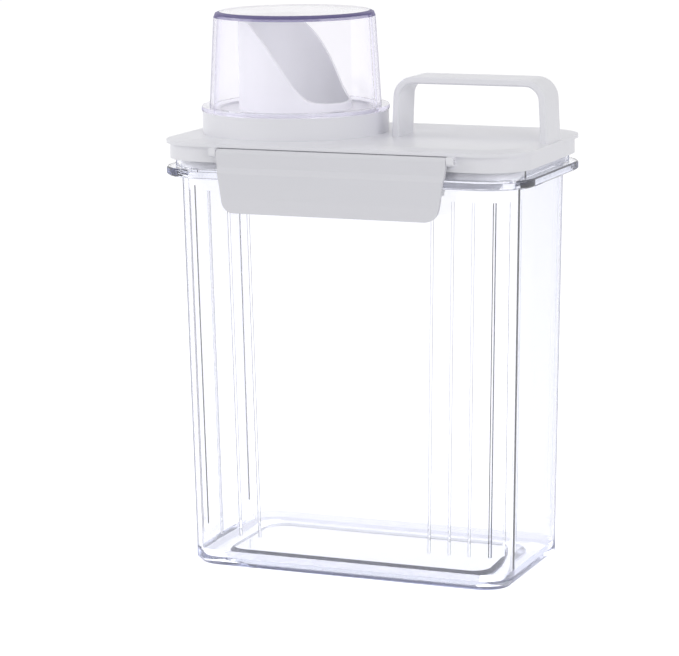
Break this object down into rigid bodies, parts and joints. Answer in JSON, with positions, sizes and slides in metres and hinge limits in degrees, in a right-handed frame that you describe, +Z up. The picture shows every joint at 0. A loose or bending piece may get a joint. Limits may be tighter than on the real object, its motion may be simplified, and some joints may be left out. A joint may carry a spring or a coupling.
{
  "type": "detergent dispenser",
  "caption": "Clear fluted storage container with a white locking lid, arch handle and angled pour spout closed by an upturned measuring cup; stores and pours washing powder.",
  "frame": {"origin": "centre of the foot, on the surface that the container stands on", "axes": "+Z up, +X towards the handle end, -Y out of the front long side"},
  "size_m": [0.164, 0.1014, 0.2365],
  "materials": {
    "clear_body": "clear polished moulding, faintly blue at its edges",
    "white_lid": "semi-gloss white moulding",
    "seal": "translucent white silicone",
    "white_spout": "satin white moulding",
    "tinted_cup": "clear polished moulding with a faint violet tint",
    "white_flap": "satin white moulding"
  },
  "bodies": {
    "body": {"container": "clear_body", "lid": "white_lid", "lid_seal": "seal", "pour_spout": "white_spout"},
    "cup": {"measuring_cup": "tinted_cup"},
    "front_flap": {"front_flap": "white_flap"},
    "back_flap": {"back_flap": "white_flap"}
  },
  "joints": [
    {"name": "cup_lift", "type": "slide", "parent": "body", "child": "cup", "axis": [0, 0, 1], "range_m": [0, 0.045]},
    {"name": "front_flap_hinge", "type": "hinge", "parent": "body", "child": "front_flap", "pos_m": [0, -0.0469, 0.1804], "axis": [-1, 0, 0], "range_deg": [0, 110]},
    {"name": "back_flap_hinge", "type": "hinge", "parent": "body", "child": "back_flap", "pos_m": [0, 0.0469, 0.1804], "axis": [1, 0, 0], "range_deg": [0, 110]}
  ]
}
